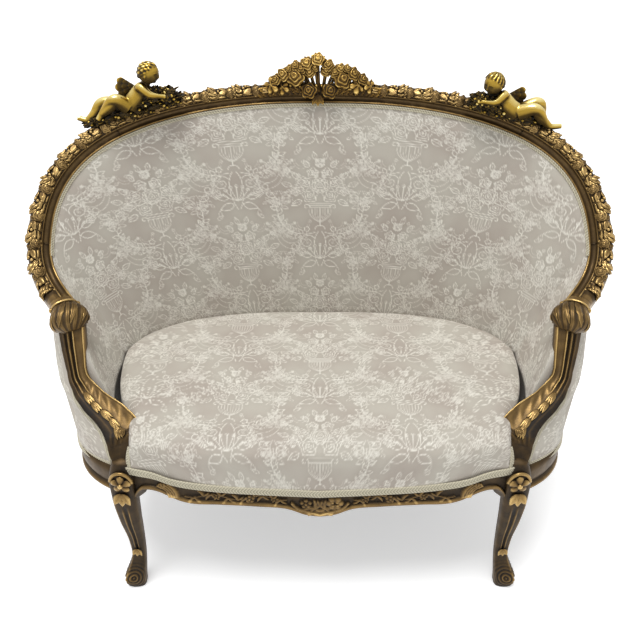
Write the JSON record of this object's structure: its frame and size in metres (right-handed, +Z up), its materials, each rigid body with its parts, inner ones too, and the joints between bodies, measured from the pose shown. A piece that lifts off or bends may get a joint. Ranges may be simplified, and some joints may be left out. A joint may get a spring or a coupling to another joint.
{
  "type": "sofa",
  "caption": "Rococo giltwood loveseat: barrel back and arms in one moulded crest rail, tight damask seat and back, cabriole legs, carved roses and winged putti.",
  "frame": {"origin": "middle of the sofa's box on the floor", "axes": "+X to the viewer's right along the seat, +Y to the rear, +Z up; the sofa faces -Y"},
  "size_m": [1.3928, 0.7029, 1.1032],
  "materials": {
    "giltwood": "antique gold leaf over dark umber, rubbed on the raised parts",
    "gilt_carving": "burnished gold leaf on carved wood, umber in the recesses",
    "damask": "pale grey-beige woven damask with a soft sheen",
    "gimp_braid": "cream double-cord braid",
    "jute_webbing": "woven jute",
    "hessian": "open plain weave",
    "stuffing": "matted fibre",
    "dust_cloth": "thin black cloth",
    "beech": "plain unfinished hardwood"
  },
  "bodies": {
    "root": {"arm_left": "giltwood", "arm_right": "giltwood", "arm_support_left": "giltwood", "arm_support_right": "giltwood", "back_post_left": "beech", "back_post_right": "beech", "back_seat_rail": "giltwood", "back_stay_rails": "beech", "back_webbing": "jute_webbing", "cherub_left": "gilt_carving", "cherub_right": "gilt_carving", "crest_bouquet": "gilt_carving", "crest_dowels": "beech", "crest_gimp": "gimp_braid", "crest_rail_left": "giltwood", "crest_rail_middle": "giltwood", "crest_rail_right": "giltwood", "dust_cover": "dust_cloth", "front_corner_block_left": "beech", "front_corner_block_right": "beech", "front_leg_left": "giltwood", "front_leg_right": "giltwood", "front_seat_rail": "giltwood", "inside_back_cover": "damask", "inside_back_hessian": "hessian", "inside_back_stuffing": "stuffing", "knee_rosette_left": "gilt_carving", "knee_rosette_right": "gilt_carving", "outside_back_cover": "damask", "rear_corner_block_left": "beech", "rear_corner_block_right": "beech", "rear_leg_left": "giltwood", "rear_leg_right": "giltwood", "seat_cover": "damask", "seat_gimp": "gimp_braid", "seat_hessian": "hessian", "seat_stuffing": "stuffing", "seat_webbing_across": "jute_webbing", "seat_webbing_along": "jute_webbing", "side_seat_rail_left": "giltwood", "side_seat_rail_right": "giltwood"}
  },
  "joints": []
}
